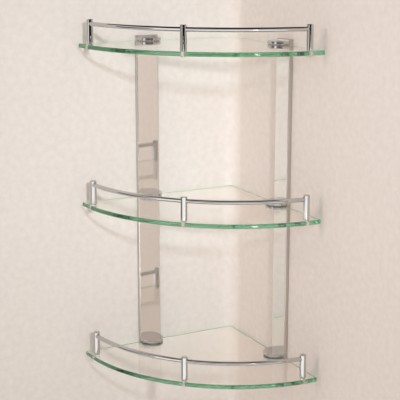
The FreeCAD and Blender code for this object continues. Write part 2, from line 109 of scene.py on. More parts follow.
camera_data = bpy.data.cameras.new("studio_camera")
camera_data.lens = CAMERA_LENS
camera_data.sensor_width = 36.0
camera_data.clip_start = 0.05
camera_data.clip_end = 50.0
camera = bpy.data.objects.new("studio_camera", camera_data)
scene.collection.objects.link(camera)
camera.location = CAMERA_PLACE
camera.rotation_euler = (math.radians(90) + CAMERA_PITCH, 0, CAMERA_YAW)
scene.camera = camera
print("camera", round(camera.location.length, 2), "m from the foot of the corner line")

# %% [markdown]
# ## Stage
# A polished upright shows little of itself: it shows the other wall. So the corner of the room is part of
# the stage. Its paint is matt, with the stipple of a roller and cloudy patches where the plaster took up
# more or less of it. The paint shows only from the room side and lets the eye through from behind, so the
# back of the shelf can be looked at too.

# %% Wall paint
ROLLER_GRAIN = 1.5 * MM  # stipple of rolled wall paint
PLASTER_PATCH = 9 * MM  # cloudy patches


def one_sided_paint(name, hex_colour):
    """Matt paint with a roller's stipple on the front of a sheet, and nothing on its back."""
    material, tree = new_material(name)
    place = add(tree, "ShaderNodeTexCoord").outputs["Object"]
    stipple = add(tree, "ShaderNodeTexNoise", {"Vector": place, "Scale": 1 / ROLLER_GRAIN, "Detail": 2.0})
    bump = add(tree, "ShaderNodeBump", {
        "Height": stipple.outputs["Fac"], "Strength": 0.1, "Distance": 0.3 * MM})
    patches = add(tree, "ShaderNodeTexNoise", {"Vector": place, "Scale": 1 / PLASTER_PATCH, "Detail": 5.0})
    cloud = add(tree, "ShaderNodeMapRange", {
        "Value": patches.outputs["Fac"], "From Min": 0.3, "From Max": 0.7, "To Min": 0.96, "To Max": 1.04})
    colour = add(tree, "ShaderNodeVectorMath", {
        0: linear(hex_colour)[:3], 1: cloud.outputs["Result"]}, operation="MULTIPLY")
    paint = add(tree, "ShaderNodeBsdfDiffuse", {
        "Color": colour.outputs["Vector"], "Normal": bump.outputs["Normal"]})
    nothing = add(tree, "ShaderNodeBsdfTransparent")
    side = add(tree, "ShaderNodeNewGeometry").outputs["Backfacing"]
    both = add(tree, "ShaderNodeMixShader", {0: side, 1: paint.outputs["BSDF"], 2: nothing.outputs["BSDF"]})
    add(tree, "ShaderNodeOutputMaterial", {"Surface": both.outputs["Shader"]})
    return material


wall_paint = one_sided_paint("rolled_wall_paint", "#E3DDD8")
floor_paint = one_sided_paint("matt_floor_paint", "#F2EFEC")
print(wall_paint.name, floor_paint.name)

# %% [markdown]
# Both walls are one bent sheet. Plaster never meets in a knife edge, so the bend is a small cove. The
# sheet has an opening behind each upright: it can't be seen from the room, and it lets light into the
# hollow back.

# %% Walls and floor
LEFT_WALL_REACH = 0.4
RIGHT_WALL_REACH = 0.55
WALL_TOP = 0.54
FLOOR_LEVEL = -0.42
FLOOR_REACH = 3.0
COVE_RADIUS = 22 * MM
COVE_STEPS = 8
COVE_MARGIN = 2 * MM  # a narrow flat strip keeps the shading of the cove off the flat of the wall
OPENING_ACROSS = (129 * MM, 161 * MM)  # from the corner, along each wall
OPENING_RISE = (-3.5 * MM, 460 * MM)
WALL_GAP = 0.2 * MM  # keeps the paint just behind the backs of the uprights


def stage_sheet(name, points, faces, material):
    """A sheet of the stage. Its front is the side from which its faces run anticlockwise."""
    mesh = bpy.data.meshes.new(name)
    mesh.from_pydata(points, [], faces)
    mesh.materials.append(material)
    mesh.shade_smooth()
    sheet = bpy.data.objects.new(name, mesh)
    scene.collection.objects.link(sheet)
    return sheet


near_side, far_side = OPENING_ACROSS
cove_end = COVE_RADIUS + COVE_MARGIN
plan = [(-WALL_GAP, -reach) for reach in (LEFT_WALL_REACH, far_side, near_side, cove_end)]
for step in range(COVE_STEPS + 1):
    turn = math.radians(90 * step / COVE_STEPS)
    off_left = COVE_RADIUS * (1 - math.cos(turn))
    off_right = COVE_RADIUS * (1 - math.sin(turn))
    plan.append((off_left - WALL_GAP, WALL_GAP - off_right))
plan += [(reach, WALL_GAP) for reach in (cove_end, near_side, far_side, RIGHT_WALL_REACH)]
wall_heights = (FLOOR_LEVEL, *OPENING_RISE, WALL_TOP)
rows = len(wall_heights)
openings = [(1, 1), (len(plan) - 3, 1)]  # strip and row of the sheet, counted from 0
panels = [(i, j) for i in range(len(plan) - 1) for j in range(rows - 1) if (i, j) not in openings]
wall_points = [(x, y, z) for x, y in plan for z in wall_heights]
wall_faces = [(i * rows + j, (i + 1) * rows + j, (i + 1) * rows + j + 1, i * rows + j + 1) for i, j in panels]
stage_sheet("room_corner", wall_points, wall_faces, wall_paint)

floor_plan = [(-WALL_GAP, -FLOOR_REACH), (FLOOR_REACH, -FLOOR_REACH),
              (FLOOR_REACH, WALL_GAP), (-WALL_GAP, WALL_GAP)]
floor_points = [(x, y, FLOOR_LEVEL) for x, y in floor_plan]
floor = stage_sheet("floor", floor_points, [(0, 1, 2, 3)], floor_paint)
floor.visible_glossy = False
print(len(panels), "panels of wall, floor", -FLOOR_LEVEL, "m below the lowest glass")

# %% [markdown]
# ## Light
# Two soft lamps stand one on each side of the camera, some 20 degrees above the shelf, because the
# photograph has a faint shadow of each rail on both walls. The right lamp is daylight and shines on the
# left wall. The left one is warmer and shines on the right wall. Each is narrowed a little, like a
# softbox with a grid, so the corner itself is the brightest place. No mirror shows them, because the room
# further down is all that the metal should mirror.

# %% Lamps
DAYLIGHT = "#FAFDFF"
WARM_LIGHT = "#FFD7CC"


def soft_lamp(name, hex_colour, place, aim, size, spread, power):
    """A square lamp that faces a point, with its beam narrowed to a spread in degrees."""
    data = bpy.data.lights.new(name, "AREA")
    data.shape = "SQUARE"
    data.size = size
    data.spread = math.radians(spread)
    data.energy = power
    data.color = linear(hex_colour)[:3]
    lamp = bpy.data.objects.new(name, data)
    scene.collection.objects.link(lamp)
    lamp.location = place
    lamp.rotation_euler = (Vector(aim) - Vector(place)).to_track_quat("-Z", "Y").to_euler()
    lamp.visible_glossy = False
    return lamp


right_lamp = soft_lamp("right_lamp", DAYLIGHT, place=(2.36, -0.57, 1.15), aim=(0.0, -0.06, 0.27),
                       size=0.14, spread=32, power=0.91)
left_lamp = soft_lamp("left_lamp", WARM_LIGHT, place=(0.35, -2.4, 1.15), aim=(0.14, 0.0, 0.22),
                      size=0.3, spread=60, power=1.2)
print("lamps of", right_lamp.data.energy, "and", left_lamp.data.energy, "W")

# %% [markdown]
# ## Room
# Polished metal is drawn by what it mirrors, so the room is given in three ways. To everything matt it is
# one even pale light. To a mirror it has heights: in front, a bright floor, a dark band at eye level
# behind the camera, pale windows above that, and a dark ceiling. Those are the black and white stripes on
# the posts and the rails. On the left there is no dark band, further left it is dim, and behind the walls
# it is pale grey. Light that comes out of glass has turned so often inside it that it sees a softer room.
# Each list below gives the colours at some heights, in degrees above the horizon.

# %% Heights in the room
HEIGHTS_IN_FRONT = [(-90, "#8C8986"), (-34, "#FFFFFF"), (-12, "#FFFFFF"), (-9, "#161514"), (8, "#161514"),
                    (11, "#D8D5D2"), (30, "#D8D5D2"), (42, "#171615"), (90, "#171615")]
HEIGHTS_ON_RIGHT = [(-90, "#8C8986"), (-34, "#7A7774"), (-12, "#4A4745"), (-9, "#161514"), (8, "#161514"),
                    (11, "#B8B5B2"), (30, "#B8B5B2"), (42, "#171615"), (90, "#171615")]
HEIGHTS_ON_LEFT = [(-90, "#8C8986"), (-34, "#FFFFFF"), (8, "#FFFFFF"), (11, "#D8D5D2"), (30, "#D8D5D2"),
                   (42, "#171615"), (90, "#171615")]
HEIGHTS_ON_FAR_LEFT = [(-90, "#8C8986"), (-34, "#8A8784"), (-24, "#454340"), (6, "#454340"), (11, "#D8D5D2"),
                       (30, "#D8D5D2"), (42, "#171615"), (90, "#171615")]
HEIGHTS_BEHIND = [(-90, "#8C8986"), (-34, "#B0ADAA"), (8, "#B0ADAA"), (11, "#B8B5B2"), (30, "#B8B5B2"),
                  (42, "#171615"), (90, "#171615")]
HEIGHTS_IN_GLASS = [(-34, "#BCB9B5"), (-24, "#9A9794"), (-20, "#9A9794"), (-14, "#FFFCF8"), (-8, "#A8A5A2"),
                    (8, "#A8A5A2"), (14, "#FFFCF8"), (20, "#9A9794"), (24, "#9A9794"), (34, "#BCB9B5")]
HEIGHTS_OF_PANES = [(-15.6, "#000000"), (-15.3, "#FFFFFF"), (-14.3, "#FFFFFF"), (-14.0, "#000000"),
                    (-6.3, "#000000"), (-6.1, "#FFFFFF"), (-5.2, "#FFFFFF"), (-5.0, "#000000")]

world = bpy.data.worlds.new("pale_room")
scene.world = world
world.use_nodes = True
room = world.node_tree
room.nodes.clear()
toward = add(room, "ShaderNodeTexCoord").outputs["Generated"]
rise = add(room, "ShaderNodeSeparateXYZ", {"Vector": toward}).outputs["Z"]
height = add(room, "ShaderNodeMapRange", {"Value": rise, "From Min": -1.0, "From Max": 1.0}).outputs["Result"]


def by_height(heights):
    """A colour of the room that changes with the height above the horizon."""
    ramp = add(room, "ShaderNodeValToRGB", {"Fac": height})
    stops = ramp.color_ramp.elements
    while len(stops) < len(heights):
        stops.new(0.5)
    for stop, (degrees, colour) in zip(stops, heights):
        stop.position = (math.sin(math.radians(degrees)) + 1) / 2
        stop.color = linear(colour)
    return ramp.outputs["Color"]


print("room with", len(HEIGHTS_IN_FRONT), "heights in front")

# %% [markdown]
# The sides of the room are laid over each other, from the right side as the ground. Each has a direction,
# and the cosine of the angle to it at which it begins to show, and at which nothing else shows.

# %% Sides of the room
CAMERA_SIDE = (0.886, -0.464, 0.0)
LEFT_SIDE = (-0.174, -0.985, 0.0)
FAR_LEFT_SIDE = (-0.438, -0.899, 0.0)
SIDES = [(CAMERA_SIDE, -0.1, -0.3, HEIGHTS_BEHIND), (CAMERA_SIDE, 0.4, 0.7, HEIGHTS_IN_FRONT),
         (LEFT_SIDE, 0.72, 0.82, HEIGHTS_ON_LEFT), (FAR_LEFT_SIDE, 0.82, 0.86, HEIGHTS_ON_FAR_LEFT)]

mirrored = by_height(HEIGHTS_ON_RIGHT)
for side, begins, full, heights in SIDES:
    cosine = add(room, "ShaderNodeVectorMath", {0: toward, 1: side}, operation="DOT_PRODUCT").outputs["Value"]
    share = add(room, "ShaderNodeMapRange", {"Value": cosine, "From Min": begins, "From Max": full})
    mirrored = add(room, "ShaderNodeMix", {
        0: share.outputs["Result"], 6: mirrored, 7: by_height(heights)}, data_type="RGBA").outputs[2]
print(len(SIDES), "sides over the right one")

# %% [markdown]
# One narrow window with two short panes gives the glints on the rails and on the polished edges of the
# glass. Then the three rooms are put together: the kind of a ray picks the one that it sees.

# %% Window and kinds of ray
ROOM_COLOUR = "#FFFBF5"
ROOM_STRENGTH = 0.77
MIRRORED_STRENGTH = 1.5
WINDOW_STRENGTH = 18.0
WINDOW_SIDE = (0.2351, 0.9720, 0.0)  # level, and square to the way to the window
WINDOW_EDGE = (0.035, 0.025)  # sine of the angle from the middle of the window, where it fades out

aside = add(room, "ShaderNodeVectorMath", {0: toward, 1: WINDOW_SIDE}, operation="DOT_PRODUCT")
offset = add(room, "ShaderNodeMath", {0: aside.outputs["Value"]}, operation="ABSOLUTE").outputs["Value"]
width = add(room, "ShaderNodeMapRange", {
    "Value": offset, "From Min": WINDOW_EDGE[0], "From Max": WINDOW_EDGE[1]}).outputs["Result"]
window = add(room, "ShaderNodeMath", {
    0: width, 1: by_height(HEIGHTS_OF_PANES)}, operation="MULTIPLY").outputs["Value"]
glint = add(room, "ShaderNodeMapRange", {
    "Value": window, "To Min": MIRRORED_STRENGTH, "To Max": WINDOW_STRENGTH}).outputs["Result"]
lit = add(room, "ShaderNodeMix", {0: window, 6: mirrored, 7: linear("#FFFFFF")}, data_type="RGBA").outputs[2]

even = add(room, "ShaderNodeBackground", {"Color": linear(ROOM_COLOUR), "Strength": ROOM_STRENGTH})
shaped = add(room, "ShaderNodeBackground", {"Color": lit, "Strength": glint})
softer = add(room, "ShaderNodeBackground", {
    "Color": by_height(HEIGHTS_IN_GLASS), "Strength": MIRRORED_STRENGTH})
ray = add(room, "ShaderNodeLightPath").outputs
either = add(room, "ShaderNodeMixShader", {
    0: ray["Is Glossy Ray"], 1: even.outputs["Background"], 2: shaped.outputs["Background"]})
each = add(room, "ShaderNodeMixShader", {
    0: ray["Is Transmission Ray"], 1: either.outputs["Shader"], 2: softer.outputs["Background"]})
add(room, "ShaderNodeOutputWorld", {"Surface": each.outputs["Shader"]})
print("even light of strength", ROOM_STRENGTH)

# %% [markdown]
# Light that enters the edge of a shelf runs along inside it and is thrown back by its faces some dozens
# of times before it comes out again. Each of those is a glossy bounce, and a ray that runs out of bounces
# ends black, so the limits go up far from the usual ones. The view transform shows colours as they are
# written.

# %% Bounces and view transform
scene.cycles.max_bounces = 96
scene.cycles.transmission_bounces = 96
scene.cycles.glossy_bounces = 96
scene.cycles.transparent_max_bounces = 32
scene.view_settings.view_transform = "Standard"
print("up to", scene.cycles.max_bounces, "bounces")

# %% [markdown]
# ## Clear float glass
# The shelves are 6 mm soda-lime float glass. It is clear through its face, and green where the eye looks
# along the sheet, because a little iron in it takes the red out over a long path. The faces are
# fire-smooth from the tin bath. The round front edge was ground and polished on a wheel that ran along
# it, which leaves fine lines that way. The two straight edges at the walls are only ground: they are
# matt, and let the light of the wall into the sheet. All of that is one material, which tells a face from
# an edge by which way it looks.

# %% Glass: faces and edges
EDGE_LINE = 0.4 * MM  # wheel lines along the edge, drawn about four times too coarse so that they show
ALONG_EDGE = 2.0  # per metre: the lines hardly change that way

glass, tree = new_material("float_glass_polished_edge")
normal = add(tree, "ShaderNodeNewGeometry").outputs["Normal"]
outward = add(tree, "ShaderNodeSeparateXYZ", {"Vector": normal}).outputs
tilt = add(tree, "ShaderNodeMath", {0: outward["Z"]}, operation="ABSOLUTE").outputs["Value"]
edge = add(tree, "ShaderNodeMapRange", {"Value": tilt, "From Min": 0.95, "From Max": 0.85}).outputs["Result"]
to_left_wall = add(tree, "ShaderNodeMath", {0: outward["X"], 1: -1.0}, operation="MULTIPLY").outputs["Value"]
to_wall = add(tree, "ShaderNodeMath", {
    0: to_left_wall, 1: outward["Y"]}, operation="MAXIMUM").outputs["Value"]
back = add(tree, "ShaderNodeMapRange", {"Value": to_wall, "From Min": 0.6, "From Max": 0.8}).outputs["Result"]
matt = add(tree, "ShaderNodeMath", {0: back, 1: edge}, operation="MULTIPLY").outputs["Value"]
place = add(tree, "ShaderNodeTexCoord").outputs["Object"]
layers = add(tree, "ShaderNodeVectorMath", {
    0: place, 1: (ALONG_EDGE, ALONG_EDGE, 1 / EDGE_LINE)}, operation="MULTIPLY")
lines = add(tree, "ShaderNodeTexNoise", {"Vector": layers.outputs["Vector"], "Scale": 1.0, "Detail": 1.0})
polish = add(tree, "ShaderNodeMapRange", {"Value": lines.outputs["Fac"], "To Min": 0.03, "To Max": 0.1})
ground = add(tree, "ShaderNodeMapRange", {"Value": lines.outputs["Fac"], "To Min": 0.45, "To Max": 0.65})
dressed = add(tree, "ShaderNodeMix", {0: back, 2: polish.outputs["Result"], 3: ground.outputs["Result"]})
rough = add(tree, "ShaderNodeMath", {0: dressed.outputs[0], 1: edge}, operation="MULTIPLY").outputs["Value"]
print(glass.name, "with a matt back edge")

# %% [markdown]
# Most of the green is an absorption inside the glass, weak for each millimetre, and the edge adds a
# little of it. In front of each post the white bush in its hole is only a few millimetres behind the
# edge. Its light has had no way to turn green, so the green of the edge leaves off there and a pale spot
# shows. The faces have a slight warm tint. A glass sheet would throw a heavy shadow if the light had to
# find its way through it by chance, so light on its way from a lamp goes straight through, and only the
# edge takes some of it away.

# %% Glass: colour and light
IRON_COLOUR = (0.10, 0.66, 0.40, 1.0)  # how much of each colour one unit of absorption lets by
IRON_DENSITY = 3.2  # per metre
POSTS = ("left", "centre", "right")
POST_INSET = 10 * MM  # from the axis of a post to the edge of the glass
SPOT_FADE = (0.3 * MM, 0.6 * MM)  # past the inset, which makes a spot 5 to 7 mm wide along the edge
FLAT = (1.0, 1.0, 0.0)

flat_place = add(tree, "ShaderNodeVectorMath", {0: place, 1: FLAT}, operation="MULTIPLY").outputs["Vector"]
nearest = 1.0
for post in POSTS:
    low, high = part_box(f"rail_post_{post}_bottom")
    axis = ((low.x + high.x) / 2, (low.y + high.y) / 2, 0.0)
    away = add(tree, "ShaderNodeVectorMath", {0: flat_place, 1: axis}, operation="DISTANCE").outputs["Value"]
    nearest = add(tree, "ShaderNodeMath", {0: nearest, 1: away}, operation="MINIMUM").outputs["Value"]
past_bush = add(tree, "ShaderNodeMapRange", {
    "Value": nearest, "From Min": POST_INSET + SPOT_FADE[0], "From Max": POST_INSET + SPOT_FADE[1]})
green = add(tree, "ShaderNodeMath", {0: edge, 1: past_bush.outputs["Result"]}, operation="MULTIPLY")
tint = add(tree, "ShaderNodeMix", {
    0: green.outputs["Value"], 6: linear("#FAF7F5"), 7: linear("#B0D6BE")}, data_type="RGBA")
through = add(tree, "ShaderNodeMapRange", {"Value": matt, "To Min": 1.0, "To Max": 0.4}).outputs["Result"]
clear = add(tree, "ShaderNodeBsdfPrincipled", {
    "Base Color": tint.outputs[2], "Roughness": rough, "IOR": 1.52, "Transmission Weight": through})
shade = add(tree, "ShaderNodeMix", {0: edge, 6: linear("#FFFFFF"), 7: linear("#B5A89B")}, data_type="RGBA")
unshaded = add(tree, "ShaderNodeBsdfTransparent", {"Color": shade.outputs[2]})
shadow = add(tree, "ShaderNodeLightPath").outputs["Is Shadow Ray"]
either = add(tree, "ShaderNodeMixShader", {0: shadow, 1: clear.outputs["BSDF"], 2: unshaded.outputs["BSDF"]})
iron = add(tree, "ShaderNodeVolumeAbsorption", {"Color": IRON_COLOUR, "Density": IRON_DENSITY})
add(tree, "ShaderNodeOutputMaterial", {"Surface": either.outputs["Shader"], "Volume": iron.outputs["Volume"]})
print(len(POSTS), "pale spots on each edge")

# %% [markdown]
# ## Bright chrome
# Rails, posts and clamps are turned or cast, buffed, and plated with nickel and a flash of chrome. It is
# a cool grey mirror, darker than silver. Buffing leaves the plate a little wavy, which makes the stripes
# in it waver, and handling leaves a faint haze here and there.

# %% Chrome
BUFF_WAVE = 6 * MM
HAZE_PATCH = 14 * MM

chrome, tree = new_material("bright_chrome_plate")
place = add(tree, "ShaderNodeTexCoord").outputs["Object"]
haze = add(tree, "ShaderNodeTexNoise", {"Vector": place, "Scale": 1 / HAZE_PATCH, "Detail": 4.0})
rough = add(tree, "ShaderNodeMapRange", {"Value": haze.outputs["Fac"], "To Min": 0.02, "To Max": 0.09})
wave = add(tree, "ShaderNodeTexNoise", {"Vector": place, "Scale": 1 / BUFF_WAVE, "Detail": 1.0})
bump = add(tree, "ShaderNodeBump", {"Height": wave.outputs["Fac"], "Strength": 0.15, "Distance": 0.15 * MM})
plate = add(tree, "ShaderNodeMix", {
    0: haze.outputs["Fac"], 6: linear("#C2C0BE"), 7: linear("#CBCAC9")}, data_type="RGBA")
metal = add(tree, "ShaderNodeBsdfPrincipled", {
    "Base Color": plate.outputs[2], "Metallic": 1.0, "Roughness": rough.outputs["Result"],
    "Normal": bump.outputs["Normal"]})
add(tree, "ShaderNodeOutputMaterial", {"Surface": metal.outputs["BSDF"]})
print(chrome.name)

# %% [markdown]
# ## Mirror-polished stainless
# The uprights are folded from 1 mm stainless sheet with a mirror finish. It is warmer and paler than
# chrome. A thin sheet is never quite flat, so its mirror image bends a little, and the polishing mop
# leaves hairlines along its length. The mop only reaches the broad face: the folded sides and the inside
# keep the duller finish of the rolling mill. They are also given a darker colour, which is painted shade:
# it draws the dark line of shade along each upright. One material does both, by which way a face looks.
# The broad face of the left upright looks along X, and that of the right one against Y.

# %% Mirror steel
SHEET_WAVE = 60 * MM
HAIRLINE = 0.5 * MM  # real mop lines are finer; drawn so coarse that they show
ALONG_HAIRLINE = 6.0  # per metre: the lines hardly change that way
LEFT_UPRIGHT_DEPTH = 10 * MM  # whatever is nearer than this to the left wall belongs to the left upright

mirror, tree = new_material("mirror_polished_stainless_sheet")
place = add(tree, "ShaderNodeTexCoord").outputs["Object"]
drawn = add(tree, "ShaderNodeVectorMath", {
    0: place, 1: (1 / HAIRLINE, 1 / HAIRLINE, ALONG_HAIRLINE)}, operation="MULTIPLY")
hair = add(tree, "ShaderNodeTexNoise", {"Vector": drawn.outputs["Vector"], "Scale": 1.0, "Detail": 2.0})
from_wall = add(tree, "ShaderNodeSeparateXYZ", {"Vector": place}).outputs["X"]
on_left = add(tree, "ShaderNodeMath", {
    0: from_wall, 1: LEFT_UPRIGHT_DEPTH}, operation="LESS_THAN").outputs["Value"]
normal = add(tree, "ShaderNodeNewGeometry").outputs["Normal"]
outward = add(tree, "ShaderNodeSeparateXYZ", {"Vector": normal}).outputs
off_right_wall = add(tree, "ShaderNodeMath", {
    0: outward["Y"], 1: -1.0}, operation="MULTIPLY").outputs["Value"]
into_room = add(tree, "ShaderNodeMix", {0: on_left, 2: off_right_wall, 3: outward["X"]}).outputs[0]
face = add(tree, "ShaderNodeMapRange", {
    "Value": into_room, "From Min": 0.9, "From Max": 0.99}).outputs["Result"]
polish = add(tree, "ShaderNodeMapRange", {"Value": hair.outputs["Fac"], "To Min": 0.02, "To Max": 0.07})
dull = add(tree, "ShaderNodeMapRange", {"Value": hair.outputs["Fac"], "To Min": 0.25, "To Max": 0.4})
rough = add(tree, "ShaderNodeMix", {0: face, 2: dull.outputs["Result"], 3: polish.outputs["Result"]})
wave = add(tree, "ShaderNodeTexNoise", {"Vector": place, "Scale": 1 / SHEET_WAVE, "Detail": 0.0})
bump = add(tree, "ShaderNodeBump", {"Height": wave.outputs["Fac"], "Strength": 0.2, "Distance": 0.3 * MM})
polished = add(tree, "ShaderNodeMix", {
    0: hair.outputs["Fac"], 6: linear("#ECE9E6"), 7: linear("#F3F0ED")}, data_type="RGBA")
# Painted shade: the folded sides take a darker colour than the polished face, for the dark line along each
# upright.
steel_with_painted_shade_sides = add(tree, "ShaderNodeMix", {0: face, 6: linear("#CBC5BF"), 7: polished.outputs[2]}, data_type="RGBA")
metal = add(tree, "ShaderNodeBsdfPrincipled", {
    "Base Color": steel_with_painted_shade_sides.outputs[2], "Metallic": 1.0, "Roughness": rough.outputs[0],
    "Normal": bump.outputs["Normal"]})
add(tree, "ShaderNodeOutputMaterial", {"Surface": metal.outputs["BSDF"]})
print(mirror.name)

# %% [markdown]
# ## Soft and hidden pieces
# Between metal and glass lie pads of clear soft PVC, die-cut from sheet with a faint calendered grain.
# The bushes and washers are natural nylon, which is milky: it lets some light through and scatters it.

# %% Clear PVC and nylon
CALENDER_GRAIN = 0.8 * MM
MOULD_MOTTLE = 2 * MM

pvc, tree = new_material("clear_soft_pvc_sheet")
place = add(tree, "ShaderNodeTexCoord").outputs["Object"]
grain = add(tree, "ShaderNodeTexNoise", {"Vector": place, "Scale": 1 / CALENDER_GRAIN, "Detail": 2.0})
rough = add(tree, "ShaderNodeMapRange", {"Value": grain.outputs["Fac"], "To Min": 0.06, "To Max": 0.16})
bump = add(tree, "ShaderNodeBump", {"Height": grain.outputs["Fac"], "Strength": 0.1, "Distance": 0.05 * MM})
cloudy = add(tree, "ShaderNodeMix", {
    0: grain.outputs["Fac"], 6: linear("#EDF1ED"), 7: linear("#F5F7F5")}, data_type="RGBA")
soft = add(tree, "ShaderNodeBsdfPrincipled", {
    "Base Color": cloudy.outputs[2], "Roughness": rough.outputs["Result"], "IOR": 1.53,
    "Transmission Weight": 0.92, "Normal": bump.outputs["Normal"]})
add(tree, "ShaderNodeOutputMaterial", {"Surface": soft.outputs["BSDF"]})

nylon, tree = new_material("natural_nylon_moulded")
place = add(tree, "ShaderNodeTexCoord").outputs["Object"]
mottle = add(tree, "ShaderNodeTexNoise", {"Vector": place, "Scale": 1 / MOULD_MOTTLE, "Detail": 3.0})
milky = add(tree, "ShaderNodeMix", {
    0: mottle.outputs["Fac"], 6: linear("#F1F2EC"), 7: linear("#FAFAF6")}, data_type="RGBA")
rough = add(tree, "ShaderNodeMapRange", {"Value": mottle.outputs["Fac"], "To Min": 0.35, "To Max": 0.5})
body = add(tree, "ShaderNodeBsdfPrincipled", {
    "Base Color": milky.outputs[2], "Roughness": rough.outputs["Result"], "IOR": 1.53,
    "Transmission Weight": 0.12})
add(tree, "ShaderNodeOutputMaterial", {"Surface": body.outputs["BSDF"]})
print(pvc.name, nylon.name)

# %% [markdown]
# The screws are steel with bright zinc plate and a clear blue passivation, which tints them unevenly. The
# wall brackets are zinc die castings as they leave the mould: grey, with a fine grain and no polish.

# %% Zinc plate and zinc casting
PASSIVATION_PATCH = 3 * MM
CASTING_GRAIN = 0.6 * MM

zinc, tree = new_material("bright_zinc_plated_steel")
place = add(tree, "ShaderNodeTexCoord").outputs["Object"]
patch = add(tree, "ShaderNodeTexNoise", {"Vector": place, "Scale": 1 / PASSIVATION_PATCH, "Detail": 3.0})
tint = add(tree, "ShaderNodeMix", {
    0: patch.outputs["Fac"], 6: linear("#BFC3C9"), 7: linear("#CCCBC6")}, data_type="RGBA")
rough = add(tree, "ShaderNodeMapRange", {"Value": patch.outputs["Fac"], "To Min": 0.2, "To Max": 0.36})
metal = add(tree, "ShaderNodeBsdfPrincipled", {
    "Base Color": tint.outputs[2], "Metallic": 1.0, "Roughness": rough.outputs["Result"]})
add(tree, "ShaderNodeOutputMaterial", {"Surface": metal.outputs["BSDF"]})

casting, tree = new_material("plain_zinc_die_casting")
place = add(tree, "ShaderNodeTexCoord").outputs["Object"]
grain = add(tree, "ShaderNodeTexNoise", {"Vector": place, "Scale": 1 / CASTING_GRAIN, "Detail": 4.0})
tint = add(tree, "ShaderNodeMix", {
    0: grain.outputs["Fac"], 6: linear("#9A9B9E"), 7: linear("#B2B3B4")}, data_type="RGBA")
rough = add(tree, "ShaderNodeMapRange", {"Value": grain.outputs["Fac"], "To Min": 0.38, "To Max": 0.58})
bump = add(tree, "ShaderNodeBump", {"Height": grain.outputs["Fac"], "Strength": 0.35, "Distance": 0.08 * MM})
metal = add(tree, "ShaderNodeBsdfPrincipled", {
    "Base Color": tint.outputs[2], "Metallic": 1.0, "Roughness": rough.outputs["Result"],
    "Normal": bump.outputs["Normal"]})
add(tree, "ShaderNodeOutputMaterial", {"Surface": metal.outputs["BSDF"]})
print(zinc.name, casting.name)

# %% [markdown]
# The record of the construction model says which finish each piece has, so one loop dresses them all.

# %% Dress the pieces
FINISHES = {"clear_glass": glass, "chrome": chrome, "mirror_steel": mirror, "clear_pvc": pvc, "nylon": nylon,
            "zinc_steel": zinc, "cast_zinc": casting}
subparts = frame["record"]["subparts"]
for subpart in subparts:
    for material_slot in nodes[subpart["node"]].material_slots:
        material_slot.material = FINISHES[subpart["material_slot"]]
print(len(subparts), "pieces in", len(FINISHES), "finishes")

# %% [markdown]
# ## Pads and washers, a hair thinner
# In the construction model the pads and washers lie tight on the glass, so a ray inside the glass meets
# two faces at one spot. It leaks into the pad instead of running on along the sheet, and the edge of the
# glass turns black there. On the real object a film of air is left under a pad that is only laid on. So
# each pad and washer is made again from its own outline, with every face drawn in by a few hundredths of
# a millimetre.

# %% Draw the pads and washers in
AIR_FILM = 0.04 * MM
WELD = 0.001 * MM
SHARP = math.radians(35)  # edges that turn by more stay sharp
LEVELS = ("bottom", "middle", "top")


def welded(node):
    """A node's mesh, with the points joined that its faces hold in common."""
    mesh = bmesh.new()
    mesh.from_mesh(nodes[node].data)
    bmesh.ops.remove_doubles(mesh, verts=mesh.verts, dist=WELD)
    mesh.normal_update()
    return mesh


def stand_in(name, mesh, slot, node):
    """A new piece that takes the place of a node, in the finish of a slot."""
    data = bpy.data.meshes.new(name)
    mesh.to_mesh(data)
    mesh.free()
    data.shade_smooth()
    data.set_sharp_from_angle(angle=SHARP)
    data.materials.append(FINISHES[slot])
    piece = bpy.data.objects.new(name, data)
    scene.collection.objects.link(piece)
    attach(piece, "root")
    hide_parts(node)
    return piece


laid_on = {"clamp_pads_left": "clear_pvc", "clamp_pads_right": "clear_pvc"}
for level in LEVELS:
    laid_on[f"post_pads_{level}"] = "clear_pvc"
    laid_on[f"post_washers_{level}"] = "nylon"
for node, slot in laid_on.items():
    mesh = welded(node)
    inward = [point.normal * point.calc_shell_factor() * AIR_FILM for point in mesh.verts]
    for point, step in zip(mesh.verts, inward):
        point.co -= step
    stand_in(f"laid_{node}", mesh, slot, node)
print(len(laid_on), "sets of pads and washers")

# %% [markdown]
# ## Screws
# A machine screw is a head with a driver recess and a thread. In the construction model each is a plain
# turned blank, which is all that a fit needs, and here each gets its real form. The screw modifier could
# wind the thread, but it leaves open ends, so the thread is made as rings of points instead: at each
# point the radius goes from crest to root and back once in a pitch, and a turn moves that by one pitch.

# %% Threads
ROUND = 20  # points round a screw
ROWS_PER_PITCH = 4
THREAD_DEPTH = 0.613  # of the pitch, as on metric threads


def ring(mesh, height, radii):
    """A ring of points round the axis, with a radius for each."""
    turns = [2 * math.pi * step / len(radii) for step in range(len(radii))]
    return [mesh.verts.new((r * math.cos(t), r * math.sin(t), height)) for r, t in zip(radii, turns)]


def skin(mesh, rings):
    """Walls between rings that follow each other."""
    for low, high in zip(rings, rings[1:]):
        for here in range(len(low)):
            after = (here + 1) % len(low)
            mesh.faces.new((low[here], low[after], high[after], high[here]))


def thread(mesh, start, end, radius, pitch):
    """Rings of a thread that runs out over one pitch at each end."""
    rows = round((end - start) / pitch * ROWS_PER_PITCH)
    rings = []
    for row in range(rows + 1):
        height = start + (end - start) * row / rows
        full = min(1.0, (height - start) / pitch, (end - height) / pitch)
        phases = [(height / pitch - step / ROUND) % 1.0 for step in range(ROUND)]
        rings.append(ring(mesh, height, [
            radius - full * THREAD_DEPTH * pitch * abs(2 * phase - 1) for phase in phases]))
    return rings


print("a thread takes", ROUND * ROWS_PER_PITCH, "points for each turn")

# %% [markdown]
# The recess is an outline in the end face that goes down to a smaller one. The face between the rim of
# the head and that outline is filled with triangles, so the screw stays one closed skin.

